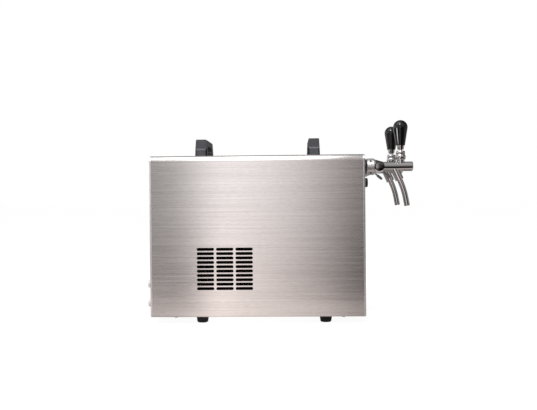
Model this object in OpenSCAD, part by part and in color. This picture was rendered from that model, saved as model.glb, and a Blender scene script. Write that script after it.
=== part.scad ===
// Portable over-counter beer cooler with two flow-control taps.
// +X points out of the front, +Y to the machine's left side, +Z up.
// The origin is on the table, under the middle of the overall length and width.

/* [Cabinet] */
// Length from the back of the rear panel to the face of the front panel
body_l = 445; // [435:1:520]
// Width over the two sides of the hood
body_w = 270; // [262:1:330]
// Height from the bottom edge of the hood to its top
body_h = 333; // [328:1:400]
// Thickness of the stainless sheet
sheet_t = 1; // [0.8:0.1:1.4]
// Outer radius of the bend between the top and the sides
top_bend_r = 11.5; // [6:0.5:14]
// Outer radius of the bend round the face of each end panel
edge_bend_r = 2.5; // [2:0.1:3.5]
// Depth of the front panel's visible rim
front_rim = 4.5; // [4:0.5:10]
// Depth of the rear panel's visible rim
rear_rim = 4.5; // [4:0.5:10]
// Length of the lip that each end panel puts under the hood
rim_lip = 10; // [6:1:16]
// Inward fold along the bottom of the hood's sides
hood_fold = 15; // [12:1:16]
// Outer radius of that fold
hood_fold_r = 1.5; // [1:0.1:2]
// Thickness of the base pan
base_t = 1.2; // [1:0.1:2]
// Height of the base pan's upturned edges
base_edge = 8; // [5:0.5:9]

/* [Vents] */
// Length of one vent slot
slot_l = 36; // [24:0.1:37]
// Height of one vent slot, with round ends
slot_h = 6.2; // [4:0.1:7]
// Spacing of the slot columns
slot_pitch_x = 40; // [38:0.5:42]
// Spacing of the slot rows
slot_pitch_z = 9; // [8:0.1:10]
// Columns of slots
slot_cols = 3; // [2:1:3]
// Rows of slots
slot_rows = 10; // [6:1:11]
// Middle of the vents, from the back of the rear panel
vent_x = 155.4; // [152:0.1:165]
// Middle of the vents, above the bottom of the hood
vent_z = 99.2; // [92:0.1:110]

/* [Feet and handles] */
// Height of the feet below the hood
foot_h = 15; // [12:0.5:25]
// Diameter of a foot where it meets the base
foot_d = 27; // [20:0.1:30]
// Diameter of a foot where it stands
foot_base_d = 23; // [16:0.1:24]
// Middle of the feet, in from the sides
foot_inset = 30; // [28:0.5:40]
// Middle of the rear feet, from the back
foot_rear = 105; // [60:0.5:130]
// Middle of the front feet, from the face of the front panel
foot_front = 81.5; // [60:0.5:130]
// Length of a carry handle along its foot
handle_l = 132; // [124:1:190]
// Length of a carry handle along its top
handle_top_l = 118; // [110:1:119]
// Height of a carry handle
handle_h = 39.1; // [36:0.1:46]
// Width of a carry handle at its foot
handle_w = 26.2; // [24:0.1:32]
// Width of a carry handle at its top
handle_top_w = 23; // [18:0.1:23.6]
// Thickness of a carry handle's bar
handle_bar = 13; // [10:0.5:16]
// Thickness of a carry handle's legs
handle_leg = 23; // [21:0.5:26]
// Height at which the ends of a carry handle turn inwards
handle_crease = 17.6; // [12:0.1:21]
// Middle of the rear carry handle, from the back
handle_rear = 99.7; // [80:0.1:130]
// Middle of the front carry handle, from the face of the front panel
handle_front = 102.1; // [80:0.1:130]

/* [Tap mounting] */
// Distance between the two taps
tap_spacing = 140; // [110:1:170]
// Height of the tap axis above the bottom of the hood
tap_z = 309; // [300:0.5:312]
// Diameter of the black rosette behind the coupling nut
rosette_d = 33; // [30:0.5:38]
// Thickness of the rosette
rosette_t = 8.5; // [8:0.5:11]
// Diameter of the coupling nut
nut_d = 35.3; // [33:0.1:38]
// Length of the coupling nut
nut_l = 16.7; // [15:0.1:17]
// Diameter of the spanner holes in the coupling nut
spanner_d = 5; // [3:0.5:6]
// Diameter of the threaded head of the shank, inside the coupling nut
shank_head_d = 28.4; // [26:0.1:29]
// Diameter of the shank through the panel
shank_d = 22; // [18:0.1:24]
// Length of the shank inside the cabinet
shank_in = 45; // [35:1:60]
// Bore of the shank
shank_bore = 8; // [6:0.5:9]

/* [Tap body] */
// Reach of the barrel from the face of the front panel
tap_reach = 107.3; // [104:0.1:115]
// Diameter of the barrel
barrel_d = 20.6; // [20:0.1:24]
// Bore of the barrel, in which the valve stem slides
barrel_bore = 13; // [12:0.1:13.4]
// Bore of the chamber behind the valve seat
chamber_d = 17; // [16:0.1:17.4]
// Length of the barrel's plug that shows
plug_l = 4.3; // [3:0.1:6]
// Diameter of the body's cone against the coupling nut
cone_d = 31; // [28:0.5:33]
// Where the cone meets the barrel, from the front panel
cone_end = 44; // [42:0.5:48]
// Where the valve seat is, from the front panel
seat_x = 58; // [57:0.1:60]
// Where the lever stands, from the front panel
lever_x = 81.7; // [80.5:0.1:84]
// Diameter of the neck under the lever
neck_d = 16.4; // [16.2:0.1:16.8]
// Lean of the spout's socket, forward of straight down
spout_lean = 24.5; // [20:0.5:27]
// Lean of the spout at its tip
spout_tip_lean = 10; // [6:0.5:14]
// Where the spout's axis crosses the barrel's, from the front panel
spout_x = 66.6; // [66:0.1:69]
// Diameter of the spout's socket
socket_d = 18.2; // [16:0.1:19]
// Length of the spout's socket from the barrel's axis
socket_l = 30.7; // [26:0.1:34]
// How deep the spout sits in its socket
spout_seat = 12; // [8:0.5:13]
// Diameter of the spout tube
spout_d = 12; // [11:0.1:13]
// Bore of the spout tube
spout_bore = 9; // [8:0.1:10]
// Length of the bent part of the spout
spout_arc = 44.5; // [36:0.5:52]
// Length of the straight end of the spout
spout_end = 13.5; // [6:0.5:14]

/* [Lever] */
// Height of the lever's ball above the tap axis
pivot_z = 25; // [24.6:0.1:25.4]
// Diameter of the lever's ball
ball_d = 13; // [12.6:0.1:13.2]
// Diameter of the collar's lower bead
collar_d = 22; // [21.4:0.1:22.4]
// Diameter of the collar's upper bead
collar_top_d = 19.8; // [18.6:0.1:20]
// Height of the waist of the collar above the tap axis
collar_waist = 24.8; // [24.6:0.1:25.2]
// How far the lever tilts forward
lever_tilt = 18; // [10:1:18]
// Diameter of the ferrule where it leaves the collar
ferrule_d = 13.4; // [10:0.1:13.8]
// Diameter of the ferrule under the grip
ferrule_top_d = 16.4; // [14:0.1:18.4]
// Height of the ferrule's foot above the tap axis
ferrule_z = 35.8; // [35.6:0.1:37]
// Height of the grip's foot above the tap axis
grip_z = 44.5; // [43:0.5:52]
// Diameter of the grip's foot
grip_d = 18.9; // [18.5:0.1:22]
// Diameter that the grip would reach at its full height
grip_top_d = 36; // [30:0.1:38]
// Length of the grip
grip_l = 54; // [44:0.1:60]

/* [Flow control] */
// Where the flow shaft crosses the tap, from the front panel
flow_x = 34.7; // [34.5:0.1:35.5]
// Diameter of the flow shaft
flow_shaft_d = 6; // [5.4:0.1:6.4]
// Offset of the flow shaft's crank
flow_throw = 1.2; // [0.8:0.1:1.2]
// Diameter of the bosses that carry the flow shaft
flow_boss_d = 17.2; // [15:0.1:17.6]
// Diameter of the flow cap
flow_cap_d = 20.2; // [17.8:0.1:21]
// Length of the flow cap
flow_cap_l = 7; // [5:0.5:9]
// Length of the flow lever's pin, from its axis
flow_pin_l = 36.5; // [30:0.5:40]
// Diameter of the flow lever's pin
flow_pin_d = 4; // [3:0.1:5]
// Angle of the flow lever's pin below level
flow_pin_drop = 40; // [30:1:50]

/* [Thermostat] */
// Diameter of the thermostat knob
knob_d = 22; // [20:0.5:28]
// Reach of the knob from the front panel
knob_reach = 18.7; // [16:0.1:24]
// Height of the knob's axis above the bottom of the hood
knob_z = 276.6; // [275:0.1:280]
// Grooves round the knob
knob_grooves = 14; // [8:1:20]

/* [Rear fittings] */
// Reach of the beer inlets behind the rear panel
inlet_reach = 14.5; // [13:0.1:24]
// Outer diameter of a beer inlet
inlet_d = 17; // [15:0.5:20]
// Bore of a beer inlet, for a 9.5 mm tube
inlet_bore = 9.6; // [9:0.1:10.4]
// Depth of the beer inlet's bore
inlet_depth = 12.5; // [10:0.1:12.5]
// Distance of the beer inlets from the middle, to the right side
inlet_y = 75; // [70:0.5:78]
// Height of the upper inlet above the bottom of the hood
inlet_z = 62.7; // [60:0.1:66]
// Height of the lower inlet above the bottom of the hood
inlet_low_z = 21.8; // [21.5:0.1:26]
// Bore of the cable gland
gland_bore = 7; // [5:0.5:9]
// Distance of the cable gland from the middle, to the left side
gland_y = 85; // [60:1:100]

/* [Cooling] */
// Diameter of the compressor's shell
comp_d = 108; // [100:1:110]
// Height of the compressor's shell
comp_h = 138; // [120:1:150]
// Length and height of the condenser
cond_size = [122, 120]; // [116:1:126]
// Depth of the condenser
cond_depth = 34; // [28:1:36]
// Passes of the condenser's coil
coil_passes = 6; // [4:2:6]
// Fins on the condenser
fin_count = 18; // [12:1:20]
// Diameter of the fan's blades
fan_d = 104; // [90:1:106]
// Blades on the fan
fan_blades = 5; // [4:1:6]
// Wall of the insulation
foam_t = 22; // [16:1:26]
// Gap between the insulation's top and the thermostat above it
foam_gap = 13.6; // [8:0.1:24]

/* [Hidden] */
$fn = 64;

// Clearances
seam_gap = 0.2;
run_gap = 0.05;
ball_gap = 0.15;
part_gap = 0.3;
hole_gap = 0.25;

// Places along the frame's axes
overall_l = inlet_reach + body_l + tap_reach;
x_back = inlet_reach - overall_l / 2;
x_front = x_back + body_l;
z_floor = foot_h;
z_top = z_floor + body_h;
side_y = body_w / 2;
RIGHT = -1;
LEFT = 1;
far = 2 * overall_l;

// Cabinet
hood_x0 = x_back + rear_rim + seam_gap;
hood_x1 = x_front - front_rim - seam_gap;
base_z = z_floor + sheet_t;
base_top = base_z + base_t;
base_x0 = x_back + edge_bend_r + seam_gap;
base_x1 = x_front - edge_bend_r - seam_gap;
base_y = side_y - sheet_t - seam_gap;
rim_step = 2;
lip_clear = 3;
lip_z = base_top + base_edge + lip_clear;
hood_screw_x = [x_back + 53, x_front - 46];
hood_screw_r = 1.75;
hood_screw_head_r = 3.5;
hood_screw_head_h = 1.8;
screw_tail = 3;

// Feet
foot_x = [x_back + foot_rear, x_front - foot_front];
foot_y = side_y - foot_inset;
foot_round = 2.5;
foot_recess_r = 5;
foot_recess_h = 6;
foot_screw_r = 2;
foot_screw_head_r = 4;
foot_screw_head_h = 3;

// Carry handles
handle_x = [x_back + handle_rear, x_front - handle_front];
handle_screw_y = handle_l / 2 - handle_leg / 2 - 2;
handle_screw_r = 2.4;
handle_screw_l = 12;
handle_screw_head_r = 4.5;
handle_screw_head_h = 3;
handle_gap_r = 8;
handle_edge_r = 2;
handle_corner_r = 5;
handle_ledge = 2.4;

// Tap mounting
z_tap = z_floor + tap_z;
tap_y = tap_spacing / 2;
nut_x0 = rosette_t + 0.2;
nut_x1 = nut_x0 + nut_l;
nut_lip = 3;
spanner_turn = 51;
shank_head_l = 8;
shank_head_x1 = rosette_t + shank_head_l;
tail_x0 = shank_head_x1 + seam_gap;
tail_x1 = nut_x1 - nut_lip - seam_gap;
tail_r = shank_head_d / 2 - 0.8;
tail_neck_r = tail_r - 1.6;
shank_nut_af = 32;
shank_nut_t = 8;
line_r = 4.75;
line_seat = 12;

// Tap body
barrel_x1 = tap_reach - plug_l;
plug_seat = 6;
flow_mouth_r = 5;
spout_arc_r = spout_arc / ((spout_lean - spout_tip_lean) * PI / 180);
spout_start = [spout_x + socket_l * sin(spout_lean), -socket_l * cos(spout_lean)];
spout_centre = spout_start - spout_arc_r * [cos(spout_lean), sin(spout_lean)];
spout_bend_end = spout_centre + spout_arc_r * [cos(spout_tip_lean), sin(spout_tip_lean)];
spout_swage = 0.1;
spout_lap = 1;
neck_top = pivot_z - 4.2;
collar_foot = barrel_d / 2 + 4.3;
collar_top = collar_waist + 8.3;
bead_swell = 1.4;

// Lever and valve stem
lever_shank_r = 2;
lever_tip_r = 3.4;
lever_neck_r = 4;
stud_l = 22;
stem_r = 2.5;
stem_shoulder_r = 4;
stem_shoulder_l = 2;
stem_fork_r = 5;
stem_pocket = lever_tip_r + 0.2;
stem_fork_x = [lever_x - stem_pocket - 1.6, lever_x + stem_pocket + 3.6];
stem_fork_top = 4;
stem_guide_l = 6;
seal_l = 3.8;
seal_x1 = seat_x - part_gap;
seal_x0 = seal_x1 - seal_l;
seal_r = chamber_d / 2 - 0.6;
stem_head_l = 4;

// Flow control
flow_boss_y = nut_d / 2 + part_gap;
crank_r = 1.6;
crank_half = chamber_d / 2 - 0.3;
cone_x = [flow_x - 10.2, flow_x - 1.7, flow_x + 4.3];
cone_r = [3.5, 7];
hub_r = 6.5;
hub_l = 6;
pin_tip_r = 3.1;
pin_tip_l = 15;
cap_dome = 1.2;

// Thermostat
z_knob = z_floor + knob_z;
knob_clear = 0.6;
knob_recess_r = 8.2;
knob_recess_h = 3.2;
spindle_r = 3;
spindle_in = 12;
spindle_out = 14;
bushing_r = 5;
bushing_out = 2.8;
thermo_size = [30, 34, 26];
thermo_nut_af = 13;
thermo_nut_t = 2.4;

// Rear fittings
z_inlets = [z_floor + inlet_z, z_floor + inlet_low_z];
inlet_flange_r = inlet_d / 2 + 1.5;
inlet_flange_t = 2.5;
inlet_stem_r = 6.5;
inlet_in = 24;
inlet_nut_r = 10;
inlet_nut_t = 5;
z_gland = z_floor + 60;
gland_reach = 12;
gland_in = 12;

// Compressor
comp_x = x_back + vent_x;
comp_y = side_y - sheet_t - 20 - comp_d / 2;
grommet_h = 12;
grommet_r = 8;
comp_plate = [comp_d - 8, 3];
comp_bolt_reach = comp_d / 2 + 6;
comp_bolt_r = 3;
comp_z0 = base_top + grommet_h;
comp_shell_z0 = comp_z0 + comp_plate[1];
comp_dome_h = 30;
stub_l = 8;
pipe_r = 4;
stub_z = comp_shell_z0 + 70;
box_size = [38, 15, 42];

// Condenser and fan
cond_x0 = comp_x - cond_size[0] / 2;
cond_z0 = z_floor + vent_z - cond_size[1] / 2;
cond_y0 = sheet_t + 6 - side_y;
cond_y1 = cond_y0 + cond_depth;
cond_y = (cond_y0 + cond_y1) / 2;
coil_pitch = cond_size[1] / coil_passes;
fin_t = 0.8;
fin_inset = 8;
shroud_t = 2;
shroud_depth = 20;
shroud_r = fan_d / 2 + 4;
shroud_y1 = cond_y1 + shroud_depth;
motor_r = 19;
motor_l = 24;
motor_y0 = shroud_y1 + 3;
arm_w = 8;
arm_t = 3;
fan_shaft_r = 2.5;
fan_hub_r = 14;
fan_y0 = cond_y1 + 4;
fan_y1 = shroud_y1 - 4;
blade_t = 2;
blade_pitch = 32;

// Cooling block
foam_x0 = comp_x + comp_d / 2 + 36;
foam_x1 = x_front - 15;
foam_y = side_y - 23;
z_foam = z_knob - thermo_size.z / 2 - foam_gap;
block_gap = 0.3;
block_x0 = foam_x0 + foam_t + block_gap;
block_x1 = foam_x1 - foam_t - block_gap;
block_y = foam_y - foam_t - block_gap;
block_z0 = base_top + foam_t;
block_z1 = z_foam - foam_t;

// Pipe routes
bend_r = 14;
pipe_bend_r = 10;
cap_pipe_r = 1.5;
drier_r = 9;
drier_y = -22;
drier_l = 80;
drier_x0 = comp_x - 48;
coil_top_z = cond_z0 + (coil_passes - 0.5) * coil_pitch;
coil_low_z = cond_z0 + coil_pitch / 2;
pipe_turn_x = cond_x0 - 14;
suction_x = block_x0 + 14;
capillary_x = block_x0 + 14;
capillary_up_x = foam_x0 - 10;
capillary_z = z_foam + 12;
suction_up_x = comp_x + comp_d / 2 + stub_l + 14;
suction_z = z_foam + 20;
inlet_turn_x = [x_back + 40, x_back + 57];
inlet_run_z = [z_foam + 38, z_foam + 20];
inlet_drop_x = [block_x0 + 50, block_x0 + 26];
outlet_x = block_x1 - 30;
sensor_x = block_x1 - 12;
sensor_r = 1.2;
bulb_r = 3;
bulb_l = 60;

// Helper shapes

// Turns a shape drawn along +Z so that it lies along +X
module along_x() {
    rotate([0, 90, 0]) children();
}

// Turns a shape drawn along +Z so that it lies along +Y
module along_y() {
    rotate([-90, 0, 0]) children();
}

// Extrudes an outline drawn in (Y, Z) along X
module prism_x(x0, x1) {
    translate([x0, 0, 0]) rotate([90, 0, 90]) linear_extrude(x1 - x0) children();
}

// Extrudes an outline drawn in (X, Z) along Y
module prism_y(y0, y1) {
    translate([0, y1, 0]) rotate([90, 0, 0]) linear_extrude(y1 - y0) children();
}

// Revolves an outline of (radius, height) round X
module revolve_x() {
    along_x() rotate_extrude() children();
}

module hex_bar(across_flats, l) {
    cylinder(h = l, d = across_flats / cos(30), $fn = 6);
}

module at_tap(side) {
    translate([x_front, side * tap_y, z_tap]) children();
}

module at_both_taps() {
    for (side = [RIGHT, LEFT]) at_tap(side) children();
}

// Points +Z of a shape along a direction
module aim(dir) {
    rotate([0, acos(dir.z / norm(dir)), atan2(dir.y, dir.x)]) children();
}

module rod(from, to, r) {
    translate(from) aim(to - from) cylinder(h = norm(to - from), r = r);
}

function unit(v) = v / norm(v);
function turn_angle(a, b, c) = acos(unit(b - a) * unit(c - b));
function trim(a, b, c, bend) = bend * tan(turn_angle(a, b, c) / 2);

// A bend from the direction a to b into the direction b to c
module elbow(a, b, c, bend, r) {
    into = unit(b - a);
    out = unit(c - b);
    side = unit(out - into * (into * out));
    start = b - into * trim(a, b, c, bend);
    axis = cross(-side, into);
    centre = start + side * bend;
    multmatrix([
        [-side.x, into.x, axis.x, centre.x],
        [-side.y, into.y, axis.y, centre.y],
        [-side.z, into.z, axis.z, centre.z],
        [0, 0, 0, 1]
    ]) rotate_extrude(angle = turn_angle(a, b, c)) translate([bend, 0]) circle(r);
}

// A bent pipe through a list of corners
module pipe(corners, r, bend) {
    last = len(corners) - 1;
    trims = [for (i = [0:last])
        i == 0 || i == last ? 0 : trim(corners[i - 1], corners[i], corners[i + 1], bend)];
    for (i = [0:last - 1]) {
        dir = unit(corners[i + 1] - corners[i]);
        rod(corners[i] + dir * trims[i], corners[i + 1] - dir * trims[i + 1], r);
    }
    for (i = [1:1:last - 1]) elbow(corners[i - 1], corners[i], corners[i + 1], bend, r);
}

// Cabinet

// The cabinet's outline across its length, in (Y, Z)
module cabinet_section(inset, fold_r = 0) {
    half_w = side_y - inset;
    r = top_bend_r - inset;
    low = z_floor + inset;
    high = z_top - inset;
    translate([-half_w, low + fold_r]) square([2 * half_w, high - r - low - fold_r]);
    translate([r - half_w, low]) square([2 * (half_w - r), high - low]);
    for (side = [RIGHT, LEFT]) translate([side * (half_w - r), high - r]) circle(r);
    if (fold_r > 0) {
        translate([fold_r - half_w, low]) square([2 * (half_w - fold_r), 2 * fold_r]);
        for (side = [RIGHT, LEFT]) translate([side * (half_w - fold_r), low + fold_r]) circle(fold_r);
    }
}

// A rectangle from x0 to x1 with its corners at x0 rounded
module rounded_end(x0, x1, low, high, r) {
    translate([x0 + r, low]) square([x1 - x0 - r, high - low]);
    translate([x0, low + r]) square([2 * r, high - low - 2 * r]);
    for (v = [low + r, high - r]) translate([x0 + r, v]) circle(r);
}

// A rectangle round the origin with all its corners rounded
module rounded_rectangle(w, l, r) {
    square([w - 2 * r, l], center = true);
    square([w, l - 2 * r], center = true);
    for (sx = [-1, 1], sy = [-1, 1]) translate([sx * (w / 2 - r), sy * (l / 2 - r)]) circle(r);
}

// The block that an end panel fills, or its hollow
module panel_block(inset, depth) {
    r = edge_bend_r - inset;
    intersection() {
        prism_x(inset, depth) cabinet_section(inset);
        prism_y(-far, far) rounded_end(inset, depth, z_floor + inset, z_top - inset, r);
        linear_extrude(far) rounded_end(inset, depth, inset - side_y, side_y - inset, r);
    }
}

// An end panel: its face at x = 0, its rim towards +x, and a lip under the hood
module end_panel(rim) {
    lip_out = sheet_t + seam_gap;
    difference() {
        panel_block(0, rim);
        panel_block(sheet_t, rim + 1);
    }
    intersection() {
        difference() {
            union() {
                prism_x(rim - rim_step, rim) cabinet_section(sheet_t / 2);
                prism_x(rim - rim_step, rim + rim_lip) cabinet_section(lip_out);
            }
            prism_x(0, rim + rim_lip + 1) cabinet_section(lip_out + sheet_t);
        }
        translate([0, -far / 2, lip_z]) cube(far);
    }
}

module vent_slots() {
    straight = slot_l - slot_h;
    for (col = [0:slot_cols - 1], row = [0:slot_rows - 1])
        translate([comp_x + (col - (slot_cols - 1) / 2) * slot_pitch_x,
                z_floor + vent_z + (row - (slot_rows - 1) / 2) * slot_pitch_z]) {
            square([straight, slot_h], center = true);
            for (end = [-1, 1]) translate([end * straight / 2, 0]) circle(d = slot_h);
        }
}

module at_hood_screws() {
    for (x = hood_screw_x, side = [RIGHT, LEFT])
        translate([x, side * (side_y - hood_fold / 2), z_floor]) children();
}

module at_handle_screws() {
    for (x = handle_x, side = [RIGHT, LEFT])
        translate([x, side * handle_screw_y, z_top]) children();
}

module at_feet() {
    for (x = foot_x, side = [RIGHT, LEFT]) translate([x, side * foot_y, 0]) children();
}

module casing_hood() {
    open_y = side_y - hood_fold;
    color("silver") difference() {
        prism_x(hood_x0, hood_x1) difference() {
            cabinet_section(0, hood_fold_r);
            cabinet_section(sheet_t);
            translate([-open_y, z_floor - 1]) square([2 * open_y, sheet_t + 2]);
        }
        prism_y(-far, far) vent_slots();
        at_handle_screws() cylinder(h = 3 * sheet_t, r = handle_screw_r + hole_gap, center = true);
        at_hood_screws() cylinder(h = 3 * sheet_t, r = hood_screw_r + hole_gap, center = true);
    }
}

module front_panel() {
    color("silver") difference() {
        translate([x_front, 0, 0]) mirror([1, 0, 0]) end_panel(front_rim);
        at_both_taps() along_x() cylinder(h = 3 * sheet_t, d = shank_d + 2 * hole_gap, center = true);
        translate([x_front, 0, z_knob]) along_x()
            cylinder(h = 3 * sheet_t, r = bushing_r + hole_gap, center = true);
    }
}

module rear_panel() {
    color("silver") difference() {
        translate([x_back, 0, 0]) end_panel(rear_rim);
        for (z = z_inlets) translate([x_back, -inlet_y, z]) along_x()
            cylinder(h = 3 * sheet_t, r = inlet_stem_r + hole_gap, center = true);
        translate([x_back, gland_y, z_gland]) along_x()
            cylinder(h = 3 * sheet_t, r = gland_bore / 2 + 3 + hole_gap, center = true);
    }
}

module base_pan() {
    color("gainsboro") difference() {
        translate([base_x0, -base_y, base_z]) cube([base_x1 - base_x0, 2 * base_y, base_t + base_edge]);
        translate([base_x0 + base_t, base_t - base_y, base_top])
            cube([base_x1 - base_x0 - 2 * base_t, 2 * (base_y - base_t), base_edge + 1]);
        translate([0, 0, base_z]) {
            at_feet() cylinder(h = 3 * base_t, r = foot_screw_r + hole_gap, center = true);
            at_compressor_bolts() cylinder(h = 3 * base_t, r = comp_bolt_r + hole_gap, center = true);
        }
        at_hood_screws() cylinder(h = 4 * base_t, r = hood_screw_r + hole_gap);
    }
}

module rubber_feet() {
    top_r = foot_d / 2;
    low_r = foot_base_d / 2;
    color("#202020") at_feet() rotate_extrude() difference() {
        union() {
            square([low_r - foot_round, foot_round]);
            translate([low_r - foot_round, foot_round]) intersection() {
                circle(foot_round);
                translate([0, -foot_round]) square(foot_round);
            }
            polygon([[0, foot_round], [low_r, foot_round], [top_r, base_z], [0, base_z]]);
        }
        translate([-1, -1]) square([foot_recess_r + 1, foot_recess_h + 1]);
        translate([-1, -1]) square([foot_screw_r + run_gap + 1, base_z + 2]);
    }
}

module foot_screws() {
    color("dimgray") at_feet() {
        translate([0, 0, foot_recess_h - foot_screw_head_h])
            cylinder(h = foot_screw_head_h, r = foot_screw_head_r);
        translate([0, 0, foot_recess_h])
            cylinder(h = base_top + screw_tail - foot_recess_h, r = foot_screw_r);
    }
}

module hood_screws() {
    color("gainsboro") at_hood_screws() {
        cylinder(h = sheet_t + base_t + screw_tail, r = hood_screw_r);
        translate([0, 0, -hood_screw_head_h]) difference() {
            cylinder(h = hood_screw_head_h, r = hood_screw_head_r);
            translate([0, 0, hood_screw_head_h / 2 - 0.9]) for (turn = [0, 90])
                rotate(turn) cube([hood_screw_head_r, 0.8, hood_screw_head_h], center = true);
        }
    }
}

// A bridge handle on the hood, with its bar along Y
module carry_handle(x) {
    gap_y = handle_l / 2 - handle_leg;
    gap_z = handle_h - handle_bar;
    ledge_y = handle_l / 2 - handle_ledge;
    ledge_z = handle_crease + handle_ledge;
    color("#4a4a4d") translate([x, 0, z_top]) difference() {
        intersection() {
            prism_x(-handle_w, handle_w) polygon([
                [-handle_l / 2, 0], [handle_l / 2, 0], [handle_l / 2, handle_crease], [ledge_y, ledge_z],
                [handle_top_l / 2, handle_h], [-handle_top_l / 2, handle_h],
                [-ledge_y, ledge_z], [-handle_l / 2, handle_crease]
            ]);
            prism_y(-handle_l, handle_l) handle_section();
            linear_extrude(handle_h) rounded_rectangle(handle_w, handle_l, handle_corner_r);
        }
        prism_x(-handle_w, handle_w) {
            translate([-gap_y, -1]) square([2 * gap_y, gap_z - handle_gap_r + 1]);
            translate([handle_gap_r - gap_y, -1]) square([2 * (gap_y - handle_gap_r), gap_z + 1]);
            for (side = [-1, 1]) translate([side * (gap_y - handle_gap_r), gap_z - handle_gap_r])
                circle(handle_gap_r);
        }
        for (side = [-1, 1]) translate([0, side * handle_screw_y, -1])
            cylinder(h = handle_screw_l + 2, r = handle_screw_r + run_gap);
    }
}

// A carry handle's outline across its bar, in (X, Z)
module handle_section() {
    top_w = handle_top_w / 2;
    polygon([
        [-handle_w / 2, 0], [handle_w / 2, 0], [top_w, handle_h - handle_edge_r],
        [-top_w, handle_h - handle_edge_r]
    ]);
    translate([handle_edge_r - top_w, handle_h - handle_edge_r])
        square([2 * (top_w - handle_edge_r), handle_edge_r]);
    for (side = [-1, 1]) translate([side * (top_w - handle_edge_r), handle_h - handle_edge_r])
        circle(handle_edge_r);
}

module rear_carry_handle() {
    carry_handle(handle_x[0]);
}

module front_carry_handle() {
    carry_handle(handle_x[1]);
}

module handle_screws() {
    color("dimgray") at_handle_screws() {
        translate([0, 0, -sheet_t]) cylinder(h = sheet_t + handle_screw_l, r = handle_screw_r);
        translate([0, 0, -sheet_t - handle_screw_head_h])
            cylinder(h = handle_screw_head_h, r = handle_screw_head_r);
    }
}

// Tap mounting

module wall_rosettes() {
    inner = shank_d / 2 + hole_gap;
    outer = rosette_d / 2;
    bevel = 2;
    color("#161616") at_both_taps() revolve_x() polygon([
        [inner, 0], [outer, 0], [outer, rosette_t - bevel], [outer - bevel / 2, rosette_t],
        [inner, rosette_t]
    ]);
}

module tap_shanks() {
    head = shank_head_d / 2;
    color("gainsboro") at_both_taps() revolve_x() polygon([
        [line_r + run_gap, -shank_in], [shank_d / 2, -shank_in], [shank_d / 2, rosette_t],
        [head, rosette_t], [head, shank_head_x1], [shank_bore / 2, shank_head_x1],
        [shank_bore / 2, line_seat - shank_in], [line_r + run_gap, line_seat - shank_in]
    ]);
}

module shank_nuts() {
    color("gainsboro") at_both_taps() translate([-sheet_t - shank_nut_t, 0, 0]) along_x() difference() {
        hex_bar(shank_nut_af, shank_nut_t);
        translate([0, 0, -1]) cylinder(h = shank_nut_t + 2, d = shank_d + 2 * run_gap);
    }
}

module coupling_nuts() {
    outer = nut_d / 2;
    thread = shank_head_d / 2 + run_gap;
    lip = tail_neck_r + run_gap;
    bevel = 1.2;
    color("#d8d8d8") at_both_taps() difference() {
        revolve_x() polygon([
            [thread, nut_x0], [outer - bevel, nut_x0], [outer, nut_x0 + bevel], [outer, nut_x1 - bevel],
            [outer - bevel, nut_x1], [lip, nut_x1], [lip, nut_x1 - nut_lip], [thread, nut_x1 - nut_lip]
        ]);
        for (i = [0:3]) translate([(nut_x0 + nut_x1) / 2, 0, 0]) rotate([spanner_turn + 90 * i, 0, 0])
            translate([0, 0, outer - 2.5]) cylinder(h = 4, d = spanner_d);
    }
}

// Tap bodies

// Places a shape drawn along +Z on the spout socket's axis
module along_socket() {
    translate([spout_x, 0, 0]) rotate([0, 180 - spout_lean, 0]) children();
}

// The space that the lever's shank sweeps under its ball
module lever_sweep() {
    side = lever_shank_r + part_gap + 0.4;
    back = pivot_z * tan(lever_tilt) + side / cos(lever_tilt);
    prism_y(-side, side) polygon([
        [lever_x + side, pivot_z], [lever_x + side, 0], [lever_x - back, 0],
        [lever_x - side / cos(lever_tilt), pivot_z]
    ]);
}

module tap_body(side) {
    bore = barrel_bore / 2;
    chamber = chamber_d / 2;
    cone_x0 = nut_x1 + part_gap;
    color("#d8d8d8") at_tap(side) difference() {
        union() {
            revolve_x() polygon([
                [0, tail_x0], [tail_r, tail_x0], [tail_r, tail_x1], [tail_neck_r, tail_x1],
                [tail_neck_r, cone_x0], [cone_d / 2, cone_x0], [cone_d / 2, cone_x0 + 1.5],
                [barrel_d / 2, cone_end], [barrel_d / 2, barrel_x1], [0, barrel_x1]
            ]);
            translate([flow_x, 0, 0]) along_y()
                cylinder(h = 2 * flow_boss_y, d = flow_boss_d, center = true);
            translate([lever_x, 0, 0]) cylinder(h = neck_top, d = neck_d);
            along_socket() cylinder(h = socket_l, d = socket_d);
        }
        revolve_x() polygon([
            [0, tail_x0 - 1], [flow_mouth_r, tail_x0 - 1], [flow_mouth_r, tail_x1], [chamber, tail_x1 + 5],
            [chamber, seat_x], [bore, seat_x], [bore, barrel_x1 + 1], [0, barrel_x1 + 1]
        ]);
        translate([flow_x, 0, 0]) along_y()
            cylinder(h = 2 * flow_boss_y + 2, d = flow_shaft_d + 2 * run_gap, center = true);
        translate([lever_x, 0, pivot_z]) sphere(d = ball_d + 2 * ball_gap);
        lever_sweep();
        along_socket() {
            cylinder(h = socket_l, d = spout_bore);
            translate([0, 0, socket_l - spout_seat])
                cylinder(h = spout_seat + 1, d = spout_d + 2 * (spout_swage + run_gap));
        }
    }
}

module right_tap_body() {
    tap_body(RIGHT);
}

module left_tap_body() {
    tap_body(LEFT);
}

module barrel_plugs() {
    face = barrel_d / 2;
    round_r = 2.5;
    color("#d8d8d8") at_both_taps() revolve_x() {
        translate([0, barrel_x1 - plug_seat]) square([barrel_bore / 2 - run_gap, plug_seat]);
        translate([0, barrel_x1]) square([face, plug_l - round_r]);
        translate([0, barrel_x1]) square([face - round_r, plug_l]);
        translate([face - round_r, tap_reach - round_r]) intersection() {
            circle(round_r);
            square(round_r);
        }
    }
}

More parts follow.
